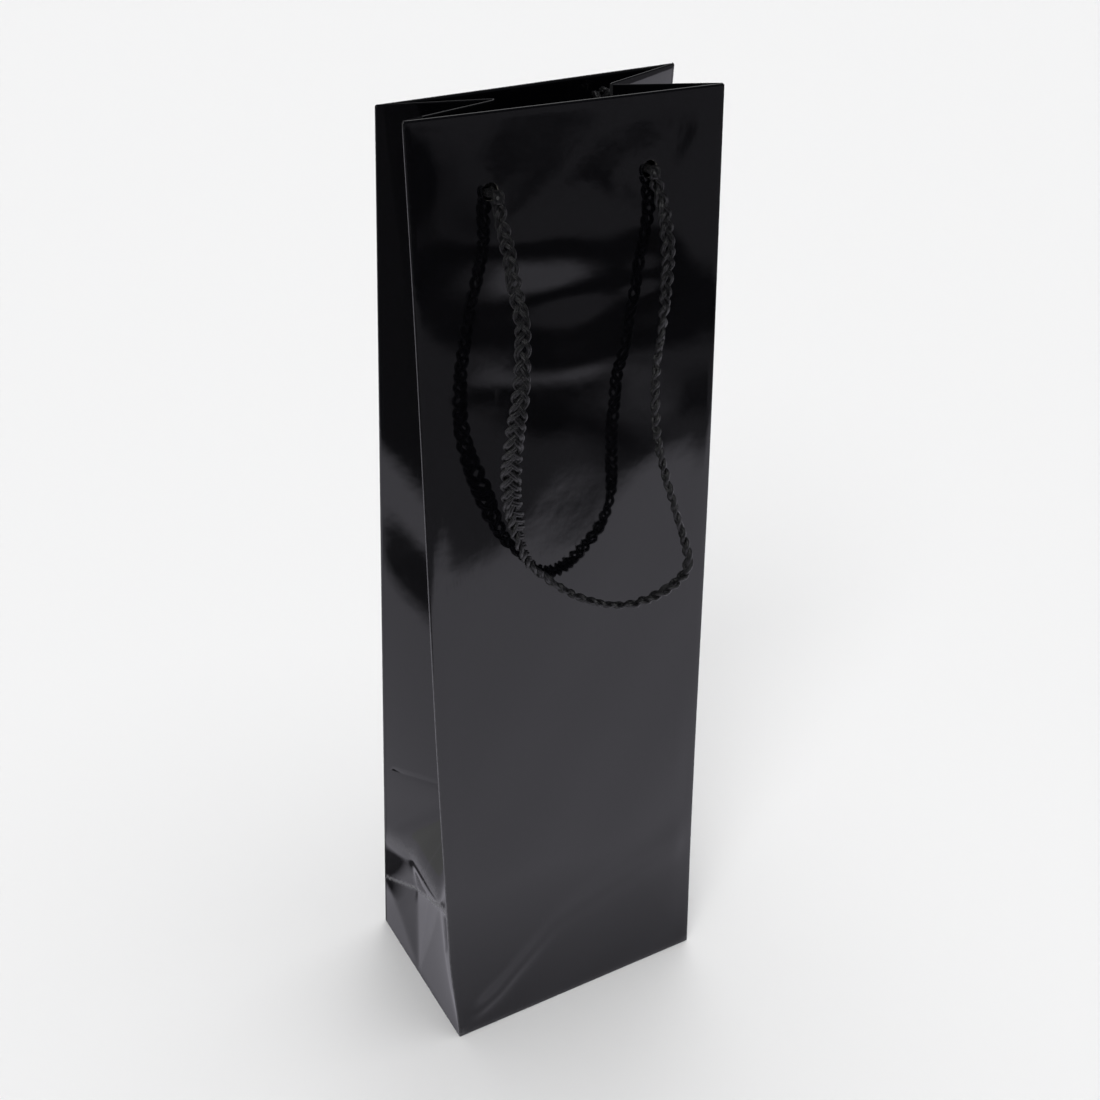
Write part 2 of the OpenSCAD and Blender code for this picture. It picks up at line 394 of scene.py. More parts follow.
def relief(face, x, v):
    """Waves and dents of a panel, in towards the bag, none at its upright edges."""
    depth = 0.16 * MM * np.sin(x * 61 + v * 37) * np.sin(v * 52 - x * 23)
    depth += 0.09 * MM * np.sin(x * 118 - v * 74 + 1.0)
    for dx, dv, rx, rv, amount in DENTS[face]:
        depth += amount * MM * bell(np.hypot((x - dx * MM) / rx, (v - dv * MM) / rv) / MM, 1.0)
    if face == "front":
        crest = 0.5 + 0.5 * smooth((-10 * MM - x) / (25 * MM))
        crest = crest * bell(v - spine_v(x), (3.5 + 60 * (x + half_w)) * MM)
        depth -= 1.8 * MM * crest * smooth((x + half_w) / (14 * MM))
    edge = smooth((half_w - abs(x)) / (10 * MM)) * smooth(v / (12 * MM))
    return depth * edge * (0.35 + 0.65 * smooth((panel_l - v) / (25 * MM)))


def face_y(face, x, v):
    """Distance of a panel's outer face from the middle of the bag."""
    slope = inset[-1] + (inset[1] - inset[-1]) * (x + half_w) / (2 * half_w)
    return half_d - slope * v / panel_l - pressed(face, x, v)


def bow(side, face, v):
    """How far an upright edge stands out sideways."""
    if side < 0 and face == "front":
        return 1.6 * MM * smooth(v / (45 * MM)) * (1 - smooth((v - 0.12) / 0.24))
    if side > 0 and face == "front":
        return 1.0 * MM * bell(v - 0.25, 0.11)
    return 0 * v


def gusset_depth(side, v):
    """How far in the middle crease of a gusset is, when each half keeps its real width."""
    edge = (face_y("front", side * half_w, v) + face_y("back", side * half_w, v)) / 2
    return np.sqrt(np.maximum(half_d ** 2 - edge ** 2, 0)) * (1 - 0.012 * smooth(v / panel_l))


# The foot of a gusset: places across it (-1 is the front edge, 1 the back), heights and depths,
# and the flat facets between them. A depth of None is the middle crease's own depth there. Above
# its crisp creases a foot is soft, and it's crumpled a little around one place.
FEET = {
    -1: {"points": {"a": (-1, 0, 0), "b": (1, 0, 0), "e": (-1, 68, 0), "f": (1, 31, 0), "g": (1, 58, 0),
                    "k": (-0.55, 60, 2.0), "c": (-0.12, 51, 3.4), "m": (0.35, 41.5, 5.5),
                    "n": (0.4, 63, 2.6), "t": (0, 94, None), "q": (0.6, 18, 1.0), "r": (0.07, 2, 0.3),
                    "h": (-1, 100, 0), "i": (0, 100, None), "j": (1, 100, 0)},
         "facets": ["aek", "akr", "kcr", "cmr", "rmq", "qmf", "qfb", "rqb", "arb", "fgn", "fnm", "mnc",
                    "kcn", "eth", "ekt", "knt", "ngt", "hti", "gjt", "tji"],
         "crisp": "ekcmf", "crumple": (-0.35, 59)},
    1: {"points": {"a": (-1, 0, 0), "b": (1, 0, 0), "p": (0.05, 46, 7.5), "e": (-1, 55, 0), "g": (1, 52, 0),
                   "t": (0, 92, None), "h": (-1, 100, 0), "i": (0, 100, None), "j": (1, 100, 0)},
        "facets": ["abp", "ape", "bgp", "ept", "gtp", "eth", "hti", "gjt", "tji"],
        "crisp": "epg", "crumple": (0.05, 46)},
}
# Creases between two of those places, drawn lighter: worn film that is partly a painted highlight, and on
# the left foot along g-n and n-k a broad painted highlight on the ridge. How much lighter, over 1 where it's
# cracked white, and half how wide in millimetres.
FOOT_CREASE_WEAR_AND_GLINTS = {
    -1: {("m", "f"): (2.2, 0.8), ("c", "m"): (1.6, 0.7), ("k", "c"): (2.5, 1.3), ("e", "k"): (1.6, 1.0),
         ("k", "r"): (0.25, 0.8), ("g", "n"): (0.25, 3.5), ("n", "k"): (0.3, 3.0)},
    1: {("e", "p"): (0.4, 0.7), ("p", "g"): (0.4, 0.7), ("a", "p"): (0.1, 0.7), ("b", "p"): (0.1, 0.7)},
}
ACROSS = np.linspace(-1, 1, 161)
HEIGHTS = np.linspace(0, split_z, 101)


def foot_table(side):
    """Depth of a gusset's foot over ACROSS and HEIGHTS, with its creases slightly rounded."""
    spots = {}
    for key, (s, z, depth) in FEET[side]["points"].items():
        z = z * MM
        spots[key] = (s, z, gusset_depth(side, np.array([z]))[0] if depth is None else depth * MM)
    s, z = np.meshgrid(ACROSS, HEIGHTS)
    table = np.zeros_like(s)
    for facet in FEET[side]["facets"]:
        (s0, z0, d0), (s1, z1, d1), (s2, z2, d2) = (spots[key] for key in facet)
        area = (s1 - s0) * (z2 - z0) - (s2 - s0) * (z1 - z0)
        if abs(area) < 1e-9:
            continue
        w1 = ((s - s0) * (z2 - z0) - (s2 - s0) * (z - z0)) / area
        w2 = ((s1 - s0) * (z - z0) - (s - s0) * (z1 - z0)) / area
        inside = (w1 > -1e-6) & (w2 > -1e-6) & (w1 + w2 < 1 + 1e-6)
        table = np.where(inside, d0 + w1 * (d1 - d0) + w2 * (d2 - d0), table)
    middle_s, middle_z = FEET[side]["crumple"]
    near = bell(np.hypot((s - middle_s) * half_d, z - middle_z * MM), 6 * MM)
    table += 0.3 * MM * near * np.sin(s * 55) * np.sin(z * 1100 + s * 20)
    crisp = rounded_off(table, 3)
    line = sorted((spots[key][0], spots[key][1]) for key in FEET[side]["crisp"])
    above = z - np.interp(s, [at[0] for at in line], [at[1] for at in line])
    return crisp + (rounded_off(crisp, 40) - crisp) * smooth((above - 1 * MM) / (6 * MM))


def rounded_off(table, times):
    """A table with its creases rounded, and its last row kept."""
    rounder = table
    for _ in range(times):
        padded = np.pad(rounder, 1, mode="reflect", reflect_type="odd")
        rounder = (padded[1:-1, :-2] + padded[1:-1, 2:] + padded[:-2, 1:-1] + padded[2:, 1:-1]
                   + 2 * rounder) / 6
        rounder[-1] = table[-1]
    return rounder


FOOT_TABLES = {side: foot_table(side) for side in FEET}


def looked_up(table, s, z):
    """Bilinear look-up in a foot table."""
    i = np.clip((s + 1) / 2 * (len(ACROSS) - 1), 0, len(ACROSS) - 1.000001)
    j = np.clip(z / split_z * (len(HEIGHTS) - 1), 0, len(HEIGHTS) - 1.000001)
    i0, j0 = i.astype(int), j.astype(int)
    fi, fj = i - i0, j - j0
    low = table[j0, i0] * (1 - fi) + table[j0, i0 + 1] * fi
    high = table[j0 + 1, i0] * (1 - fi) + table[j0 + 1, i0 + 1] * fi
    return low * (1 - fj) + high * fj


def pleat(side, s, v):
    """Depth of a gusset at s across it and v up it."""
    middle = gusset_depth(side, v)
    soft = 0.45 * MM / np.maximum(half_d - v * math.sin(lean), 8 * MM)
    rounded = (np.sqrt(s ** 2 + soft ** 2) - soft) / (np.sqrt(1 + soft ** 2) - soft)
    upper = middle * (1 - rounded)
    return np.where(v < split_z, looked_up(FOOT_TABLES[side], s, v), upper)


def fold_turn(side, face, v):
    """How far the paper turns at an upright crease, from the panel into the gusset, in radians."""
    v = np.clip(v, 0, panel_l)
    end = -1.0 if face == "front" else 1.0
    rise = pleat(side, 0.9 * end + 0 * v, v) - pleat(side, end + 0 * v, v)
    return math.pi / 2 + np.arctan2(rise, 0.1 * face_y(face, side * half_w, v))


# ---- panels ----

BEND = 1.5 * MM              # length given to each rounded bend in a panel's flat mesh
BEND_STEPS = BEND * np.array([0.12, 0.25, 0.37, 0.5, 0.62, 0.75, 0.87, 1.0])
GRID = 2.2 * MM              # spacing of a panel's flat mesh
flat_w = half_w - fold_r
wrap = 0.7 * MM              # paper past an upright crease, on the gusset


def panel_point(face, u, v, deep=0.0):
    """A point at a depth under a panel's outer face; past its edges the paper turns the creases."""
    sign = np.sign(u)
    x = np.clip(u, -flat_w, flat_w)
    level = np.clip(v, fold_r, panel_l - rim)
    past = np.abs(u) - flat_w
    turn = np.where(u < 0, fold_turn(-1, face, level), fold_turn(1, face, level))
    angle = turn * np.clip(past / BEND, 0, 1)
    run = np.clip(past - BEND, 0, None)
    side_bow = np.where(u < 0, bow(-1, face, level), bow(1, face, level))
    out = sign * np.sin(angle), -np.cos(angle)
    y = -face_y(face, x, level) + relief(face, x, level) + fold_r
    px = x + sign * side_bow * (np.abs(x) / flat_w) ** 3 + fold_r * out[0] + sign * np.cos(angle) * run
    py = y + fold_r * out[1] + np.sin(angle) * run
    top = np.clip((v - panel_l + rim) / BEND, 0, 1) * math.pi / 2
    rim_r = rim * (1 - 0.55 * smooth(past / BEND))
    foot = np.clip((fold_r - v) / BEND, 0, 1) * math.pi / 2
    under = np.clip(fold_r - v - BEND, 0, None) * (past <= 0)
    inward = deep + rim_r * (1 - np.cos(top)) + fold_r * (1 - np.cos(foot)) + under
    px -= out[0] * inward
    py -= out[1] * inward * math.cos(lean)
    pz = level * math.cos(lean) - inward * math.sin(lean) * (foot == 0)
    pz += rim_r * np.sin(top) - fold_r * np.sin(foot)
    flip = 1 if face == "front" else -1
    return np.stack([px, py * flip, pz], axis=1)


def panel_wear_and_glint(u, v):
    """Worn film of a panel, drawn lighter and partly a painted highlight: upright creases lighter towards
    the foot, base crease, bottom corners and rope holes.
    """
    past = np.abs(u) - flat_w - BEND / 2
    # Upright creases: worn film and partly a painted highlight, lighter towards the foot.
    crease_wear_and_glint = 0.6 * bell(past, 0.45 * MM) * (0.2 + 0.8 * smooth((0.32 - v) / 0.25))
    base = 0.5 * bell(v, 0.8 * MM)
    corner = 0.8 * bell(np.hypot(np.abs(u) - half_w, v), 3 * MM)
    punched = 0.06 * bell(np.hypot(np.abs(u) - hole_x, v - hole_v) - hole_r, 0.4 * MM)
    return np.clip(np.maximum.reduce([crease_wear_and_glint, base, corner, punched]), 0, 1)


def across_panel(half):
    """Places across a panel, with one at each rope hole."""
    return np.concatenate([spaced(-half, -hole_x, GRID), spaced(-hole_x, hole_x, GRID)[1:],
                           spaced(hole_x, half, GRID)[1:]])


def up_panel(low, high):
    """Places up a panel, with one at the rope holes."""
    return np.concatenate([spaced(low, hole_v, GRID), spaced(hole_v, high, GRID)[1:]])


def panel_domain():
    """A panel's flat mesh: its face, and the bends at its two edges, its rim and its foot."""
    edge = flat_w + BEND + wrap
    us = np.concatenate([[-edge], -flat_w - BEND_STEPS[::-1], across_panel(flat_w), flat_w + BEND_STEPS,
                         [edge]])
    low, high = fold_r, panel_l - rim
    vs = np.concatenate([[low - BEND - 2 * MM], low - BEND_STEPS[::-1], up_panel(low, high),
                         high + BEND_STEPS])
    return grid_domain(us, vs, holes)


def make_panel(face, gloss, inside):
    """A panel's paper, with its rounded creases, its rim and its two rope holes."""
    piece = sheet_piece(f"{face}_panel_paper", panel_domain(),
                        lambda u, v: panel_point(face, u, v), paper, [gloss, inside],
                        panel_wear_and_glint, flip=face == "back")
    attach(piece, f"{face}_panel")
    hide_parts(f"{face}_panel")


def make_turn_in(face, gloss, inside):
    """The paper folded down inside the mouth, with its laminated side to the inside."""
    low, high = panel_l - turn_in_h, panel_l - rim
    vs = np.concatenate([up_panel(low, high), high + BEND_STEPS])

    def surface(u, v):
        flat = panel_point(face, u, np.minimum(v, high), rim)
        deeper = panel_point(face, u, np.minimum(v, high), 2 * rim)
        angle = np.clip((v - high) / BEND, 0, 1) * math.pi / 2
        points = flat + (deeper - flat) * np.cos(angle)[:, None]
        points[:, 2] += rim * np.sin(angle)
        return points

    def wear_and_glint(u, v):
        return 0.4 * bell(v - low, 0.7 * MM)

    piece = sheet_piece(f"{face}_turn_in_paper", grid_domain(across_panel(turn_in_half_w), vs, holes),
                        surface, paper, [gloss, inside], wear_and_glint, flip=face == "front")
    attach(piece, f"{face}_panel")
    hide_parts(f"{face}_turn_in")


def make_stiffener(face, board):
    """The card strip between a panel and its turn-in."""
    high = panel_l - rim
    domain = grid_domain(across_panel(turn_in_half_w - 0.3 * MM), up_panel(high - stiffener_h, high), holes)
    piece = sheet_piece(f"{face}_stiffener_card", domain,
                        lambda u, v: panel_point(face, u, v, paper + 0.05 * MM), card - 0.1 * MM,
                        [board, board], flip=face == "back")
    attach(piece, f"{face}_panel")
    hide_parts(f"{face}_stiffener")


def make_glue_flap(inside):
    """The strip that closes the tube, glued inside the back panel beside one gusset."""
    low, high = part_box("glue_flap")
    us = spaced(low.x, high.x, 2.5 * MM)
    vs = spaced(low.z, high.z, 5 * MM)
    piece = sheet_piece("glue_flap_paper", grid_domain(us, vs),
                        lambda u, v: panel_point("back", u, v, 2 * paper + 0.06 * MM), paper,
                        [inside, inside])
    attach(piece, "back_panel")
    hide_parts("glue_flap")


# ---- gussets ----

gusset_top = panel_l - rim * 0.45
TOP_BEND = 0.6 * MM          # length given to the rounded top edge in a gusset's flat mesh
TOP_STEPS = TOP_BEND * np.array([0.25, 0.5, 0.75, 1.0])
top_r = 0.4 * MM
GUSSET_GRID = 3.2 * MM       # spacing up the flat mesh of a gusset's upper part


def gusset_point(side, s, v):
    """A point of a gusset: s from -1 at the front crease to 1 at the back one."""
    level = np.clip(v, 0.15 * MM, gusset_top)
    faces = {}
    for face in ("front", "back"):
        turn = fold_turn(side, face, level)
        edge = face_y(face, side * half_w, level) - fold_r * (1 - np.cos(turn))
        faces[face] = edge, fold_r * (1 - np.sin(turn)), bow(side, face, level)
    near = s < 0
    edge, tuck, stand = (np.where(near, faces["front"][k], faces["back"][k]) for k in range(3))
    outer = np.abs(np.clip(s, -1, 1))
    depth = pleat(side, np.clip(s, -1, 1), level) + (tuck + 0.12 * MM) * outer ** 8
    width = np.where(near, -1, 1) * edge * np.minimum(np.abs(s), 1.0)
    x = side * (half_w + stand * outer ** 3 - depth)
    return np.stack([x, width, level * math.cos(lean)], axis=1)


def across_half(back):
    """Places across half of a gusset, closer together at its two creases."""
    close = np.array([0, 0.006, 0.014, 0.026, 0.045, 0.07])
    places = np.concatenate([close, spaced(0.1, 0.94, 0.047), 1 - close[4:0:-1], [1.0]])
    return places if back else -places[::-1]


def gusset_half(side, back, gloss, inside):
    """The upper part of half a gusset, and its foot, which also laps under the other half's seam."""
    name = f"{'left' if side < 0 else 'right'}_{'back' if back else 'front'}"

    def wear_and_glint(s, v):
        return 0.4 * bell(s * half_d, 0.5 * MM)

    vs = np.concatenate([spaced(split_z, gusset_top, GUSSET_GRID), gusset_top + TOP_STEPS])
    piece = sheet_piece(f"{name}_gusset_paper", grid_domain(across_half(back), vs),
                        lambda s, v: over_top(side, s, v, 1), paper, [gloss, inside], wear_and_glint, flip=side < 0)
    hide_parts(f"{name}_gusset_wing")
    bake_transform(piece)

    lapped = across_half(back)
    if not back:
        lapped = np.concatenate([lapped, [0.02, 0.045, 0.075]])

    def foot_surface(s, v):
        points = gusset_point(side, s, v)
        if not back:
            points[:, 0] -= side * 0.55 * MM * smooth(s / 0.02)
        return points

    lower = grid_domain(lapped, spaced(0.15 * MM, split_z, 1.6 * MM))
    foot = sheet_piece(f"{name}_gusset_foot", lower, foot_surface, paper, [gloss, inside],
                       lambda s, v: foot_wear_and_glint(side, s, v), flip=side < 0)
    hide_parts(f"{'left' if side < 0 else 'right'}_gusset_web")
    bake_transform(foot)


def foot_wear_and_glint(side, s, v):
    """Lighter colour along a gusset foot's base and the creases between its facets: worn film, partly a
    painted highlight, with a painted highlight along the left foot's ridge.
    """
    spots = FEET[side]["points"]
    worn_and_glint = 0.5 * bell(v, 0.8 * MM)
    for (a, b), (amount, wide) in FOOT_CREASE_WEAR_AND_GLINTS[side].items():
        (sa, za, _), (sb, zb, _) = spots[a], spots[b]
        ay, az, by, bz = sa * half_d, za * MM, sb * half_d, zb * MM
        length = (by - ay) ** 2 + (bz - az) ** 2
        t = np.clip(((s * half_d - ay) * (by - ay) + (v - az) * (bz - az)) / length, 0, 1)
        gap = np.hypot(s * half_d - ay - t * (by - ay), v - az - t * (bz - az))
        worn_and_glint = np.maximum(worn_and_glint, amount * bell(gap, wide * MM))
    return worn_and_glint


def outward(side, s, v):
    """The way a gusset's outer side looks."""
    step = 0.05 * MM
    along_s = gusset_point(side, s + 0.001, v) - gusset_point(side, s - 0.001, v)
    level = np.minimum(v, panel_l - rim)
    along_v = gusset_point(side, s, level + step) - gusset_point(side, s, level - step)
    normal = np.cross(along_s, along_v)
    normal *= np.where(normal[:, 0] * side < 0, -1, 1)[:, None]
    return normal / np.linalg.norm(normal, axis=1)[:, None]


def over_top(side, s, v, way):
    """A gusset's surface with its rounded top edge: way is 1 outside that edge and -1 inside it."""
    points = gusset_point(side, s, v)
    angle = np.clip((v - gusset_top) / TOP_BEND, 0, 1) * math.pi / 2
    points -= outward(side, s, v) * (top_r * (1 - way * np.cos(angle)))[:, None]
    points[:, 2] += top_r * np.sin(angle)
    return points


def make_gusset_turn_in(side, back, gloss, inside):
    """The paper of half a gusset folded down inside the mouth."""
    name = f"{'left' if side < 0 else 'right'}_{'back' if back else 'front'}"
    half = across_half(True)
    half = half[(half > 0.02) & (half < 0.82)]
    places = half if back else -half[::-1]
    vs = np.concatenate([spaced(panel_l - turn_in_h, gusset_top, GUSSET_GRID), gusset_top + TOP_STEPS])
    piece = sheet_piece(f"{name}_gusset_turn_in", grid_domain(places, vs),
                        lambda s, v: over_top(side, s, v, -1), paper, [gloss, inside], flip=side > 0)
    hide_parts(f"{name}_turn_in")
    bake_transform(piece)


# ---- ropes ----

# The front handle's route from its left hole to its right one, from the line it turns about.
ROPE_ROUTE = [
    (-0.0305, 0, -0.003), (-0.0305, -0.002, -0.008), (-0.030, -0.006, -0.018), (-0.030, -0.011, -0.029),
    (-0.030, -0.016, -0.040), (-0.032, -0.020, -0.052), (-0.034, -0.022, -0.065), (-0.036, -0.022, -0.078),
    (-0.036, -0.020, -0.091), (-0.035, -0.018, -0.102), (-0.032, -0.016, -0.114), (-0.029, -0.014, -0.126),
    (-0.024, -0.012, -0.137), (-0.017, -0.010, -0.146), (-0.009, -0.014, -0.153), (0, -0.021, -0.157),
    (0.009, -0.028, -0.157), (0.018, -0.032, -0.154), (0.026, -0.035, -0.149), (0.031, -0.036, -0.142),
    (0.031, -0.033, -0.132), (0.029, -0.028, -0.120), (0.027, -0.023, -0.107), (0.026, -0.018, -0.094),
    (0.026, -0.015, -0.081), (0.028, -0.012, -0.067), (0.030, -0.011, -0.053), (0.032, -0.009, -0.039),
    (0.033, -0.007, -0.026), (0.033, -0.004, -0.015), (0.0315, -0.001, -0.007), (0.0305, 0, -0.003),
]
# The way the braid's flat side runs at each point of the route.
ROPE_ACROSS = (
    [(1, -0.35, 0)] * 10 + [(1, 0.2, 0), (1, 1, 0), (1, 2, 0)] + [(0, 2, -1)] * 7 + [(1, 3, 0)] * 5
    + [(1, 2, 0), (1, 1, 0)] + [(1, 0, 0)] * 5
)


def curve_through(points, step):
    """Points about a step apart along a smooth line through the given ones."""
    points = np.asarray(points, float)
    padded = np.vstack([2 * points[0] - points[1], points, 2 * points[-1] - points[-2]])
    made = []
    for a, b, c, d in zip(padded, padded[1:], padded[2:], padded[3:]):
        count = max(2, int(np.linalg.norm(c[:3] - b[:3]) / step))
        for t in np.arange(count)[:, None] / count:
            made.append(0.5 * (2 * b + (c - a) * t + (2 * a - 5 * b + 4 * c - d) * t ** 2
                               + (3 * b - a - 3 * c + d) * t ** 3))
    return np.vstack([*made, points[-1]])


def unit(v):
    return v / np.linalg.norm(v, axis=-1, keepdims=True)


def run_along(path):
    """Distance along a line at each of its points."""
    return np.concatenate([[0], np.cumsum(np.linalg.norm(np.diff(path, axis=0), axis=1))])


def tube(path, side, wide, thick, closed=False):
    """Points, faces and UVs of a yarn: an oval tube with twisted lobes, capped unless it's a loop."""
    around, lobes, twist = 12, 4, 900.0
    ahead = unit(np.gradient(path, axis=0))
    side = unit(side - (side * ahead).sum(1)[:, None] * ahead)
    up = np.cross(ahead, side)
    run = run_along(path)
    angle = np.linspace(0, 2 * math.pi, around, endpoint=False)
    swell = 1 + 0.07 * np.cos(lobes * angle[None] + twist * run[:, None])
    rings = (path[:, None] + (wide[:, None] * np.cos(angle) * swell)[..., None] * side[:, None]
             + (thick[:, None] * np.sin(angle) * swell)[..., None] * up[:, None])
    count = len(path)
    faces, uvs = [], []
    for j in range(count - 1):
        for i in range(around):
            n = (i + 1) % around
            faces.append((j * around + i, j * around + n, (j + 1) * around + n, (j + 1) * around + i))
            low, high = run[j] / MM / 3, run[j + 1] / MM / 3
            uvs += [(i / around, low), ((i + 1) / around, low), ((i + 1) / around, high), (i / around, high)]
    points = rings.reshape(-1, 3)
    if not closed:
        points = np.vstack([points, path[0], path[-1]])
        for i in range(around):
            n = (i + 1) % around
            faces.append((n, i, count * around))
            faces.append(((count - 1) * around + i, (count - 1) * around + n, count * around + 1))
            uvs += [((i + 1) / around, 0), (i / around, 0), (i / around, 0)]
            uvs += [(i / around, 1), ((i + 1) / around, 1), (i / around, 1)]
    return points, faces, uvs


def join(parts):
    """Several lots of points, faces and UVs as one."""
    points, faces, uvs = [], [], []
    for part_points, part_faces, part_uvs in parts:
        start = sum(len(p) for p in points)
        points.append(part_points)
        faces += [tuple(k + start for k in f) for f in part_faces]
        uvs += part_uvs
    return np.vstack(points), faces, uvs


def braid(centre, across, wide, thick):
    """Three doubled yarns plaited flat along a line, not quite evenly: a list of tubes."""
    ahead = unit(np.gradient(centre, axis=0))
    across = unit(across - (across * ahead).sum(1)[:, None] * ahead)
    up = np.cross(ahead, across)
    run = run_along(centre)
    yarn_wide = 0.155 * wide
    yarn_thick = 0.27 * thick
    sway = wide / 2 - yarn_wide
    lift = thick / 2 - yarn_thick
    parts = []
    for k in range(STRANDS):
        angle = 2 * math.pi * (run / braid_pitch + k / STRANDS)
        angle = angle + 0.35 * np.sin(run * 173 + 2.1 * k) + 0.25 * np.sin(run * 411 + k)
        path = centre + across * (sway * np.sin(angle))[:, None] + up * (lift * np.sin(2 * angle))[:, None]
        lead = unit(np.gradient(path, axis=0))
        beside = np.cross(lead, up)
        roll = 0.5 * np.sin(run * 240 + 1.7 * k)
        for ply in (-1, 1):
            aside = beside * (yarn_wide * np.cos(roll))[:, None] + up * (yarn_thick * np.sin(roll))[:, None]
            parts.append(tube(path + 0.47 * ply * aside, beside, 0.56 * yarn_wide, 0.85 * yarn_thick))
    return parts


# How wide the braid has stayed at each point, as a share of its full width.
ROPE_SPREAD = (
    [0.58, 0.64, 0.7, 0.72, 0.74, 0.78, 0.86, 0.94] + [1.0] * 4 + [0.8, 0.72, 0.7] + [0.78] * 4
    + [0.7, 0.72, 0.72, 0.7, 0.68, 0.66, 0.62, 0.6, 0.64, 0.7, 0.72, 0.66, 0.58]
)


def handle_line():
    """The front handle's centreline, the way its flat side runs, and its spread."""
    columns = [np.array(ROPE_ROUTE), unit(np.array(ROPE_ACROSS, float)), np.array(ROPE_SPREAD)[:, None]]
    line = curve_through(np.hstack(columns), 0.75 * MM)
    return line[:, :3] + np.array([0, pivot.y, pivot.z]), unit(line[:, 3:6]), line[:, 6]


def make_handle(face, rope):
    """A handle: flat along its drape and rounder at its two ends."""
    centre, across, spread = handle_line()
    if face == "back":
        centre = centre * HALF_TURN
        across = across * HALF_TURN
    run = run_along(centre)
    gathered = smooth(np.minimum(run, run[-1] - run) / (14 * MM))
    wide = rope_w * spread
    thick = rope_end_t + (rope_t - rope_end_t) * gathered
    points, faces, uvs = join(braid(centre, across, wide, thick))
    piece = build(f"{face}_handle_braid", points, faces, [rope], uvs=uvs, sharp=180)
    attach(piece, f"{face}_handle")
    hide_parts(f"{face}_handle_rope")
    tuple(centre[0])


def knot_parts(tail_up):
    """A rope end in its own frame, around the hole: X across, Y into the bag, Z up the panel."""
    inner = 2 * rim
    middle = inner + knot_r
    sideways = [1.0, 0, 0]
    stub = curve_through(np.array([
        (0, -pivot_out - 0.4 * MM, -2.6 * MM), (0, -pivot_out - 0.3 * MM, -1.0 * MM),
        (0, -pivot_out + 1.2 * MM, 0.1 * MM), (0, -1.5 * MM, 0), (0, inner, 0), (0, middle, 0)]), 0.5 * MM)
    size = np.full(len(stub), rope_end_w)
    across = np.tile(sideways, (len(stub), 1))
    parts = braid(stub, across, size, size * 0.6)
    parts.append(tube(stub, across, size * 0.36, size * 0.2))
    turn = np.linspace(0, 2 * math.pi, 73)
    reach = 0.92 * MM
    loop = np.stack([reach * (np.sin(turn) + 2 * np.sin(2 * turn)), middle - reach * np.sin(3 * turn),
                     reach * (np.cos(turn) - 2 * np.cos(2 * turn))], axis=1)
    wide = np.full(len(loop), 1.55 * MM)
    parts.append(tube(loop, unit(loop - np.array([0, middle, 0])), wide, wide, closed=True))
    way = 1 if tail_up else -1
    end = (5 * MM, middle, 22 * MM) if tail_up else (0, middle, -12.2 * MM)
    tail = curve_through(np.array([(0, middle, 0), (0.2 * MM, middle, way * 5 * MM), end]), 0.5 * MM)
    size = np.linspace(3.8, 7.5 if tail_up else 4.3, len(tail)) * MM
    parts += braid(tail, np.tile(sideways, (len(tail), 1)), size, size * 0.85)
    return parts


def make_knot(face, side, rope):
    """A rope end at its hole in a leaning panel."""
    points, faces, uvs = join(knot_parts(face == "back"))
    local_x = side if face == "front" else -side
    at = np.stack([points[:, 0] + local_x * hole_x, points[:, 1], points[:, 2] + hole_v], axis=1)
    y = -half_d + at[:, 1] * math.cos(lean) + at[:, 2] * math.sin(lean)
    z = at[:, 2] * math.cos(lean) - at[:, 1] * math.sin(lean)
    placed = np.stack([at[:, 0], y, z], axis=1)
    if face == "back":
        placed = placed * HALF_TURN
    name = f"{face}_{'left' if side < 0 else 'right'}_knot"
    piece = build(f"{name}_rope", placed, faces, [rope], uvs=uvs, sharp=180)
    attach(piece, f"{face}_panel")
    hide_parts(name)


# ---- stage and light ----

def flat_plane(name, half_x, half_y, z, made):
    """A stage plane around the origin, at height z."""
    corners = [(-half_x, -half_y, z), (half_x, -half_y, z), (half_x, half_y, z), (-half_x, half_y, z)]
    mesh = bpy.data.meshes.new(name)
    mesh.from_pydata(corners, [], [(0, 1, 2, 3)])
    mesh.materials.append(made)
    plane = bpy.data.objects.new(name, mesh)
    bpy.context.scene.collection.objects.link(plane)
    return plane


def shown_only_to(thing, camera=False, glossy=False):
    thing.visible_camera = camera
    thing.visible_glossy = glossy
    thing.visible_diffuse = False
    thing.visible_shadow = False
    thing.visible_transmission = False


def glow(name):
    """A material that only gives off light."""
    made = bpy.data.materials.new(name)
    made.use_nodes = True
    tree = made.node_tree
    tree.nodes.clear()
    output = node(tree, "OutputMaterial")
    emission = node(tree, "Emission")
    tree.links.new(emission.outputs[0], output.inputs["Surface"])
    return made, tree, emission


def soft_box(tree, places, lows, highs, edges):
    """1 where each place is between its low and its high, and 0 outside, with soft edges."""
    share = None
    for at, low, high, edge in zip(places, lows, highs, edges):
        away = math_node(tree, "ABSOLUTE", math_node(tree, "SUBTRACT", at, (low + high) / 2))
        half = (high - low) / 2
        part = remap(tree, away, half - edge, half + edge, 1.0, 0.0)
        share = part if share is None else multiply(tree, share, part)
    return share


def soft_ellipse(tree, places, middle, half, soft):
    """1 inside an ellipse and 0 outside it, with the outer share of it soft."""
    total = 0.0
    for at, centre, reach in zip(places, middle, half):
        away = math_node(tree, "DIVIDE", math_node(tree, "SUBTRACT", at, centre), reach)
        total = add(tree, multiply(tree, away, away), total)
    distance = math_node(tree, "SQRT", total)
    return remap(tree, distance, 1 - soft, 1 + soft, 1.0, 0.0)


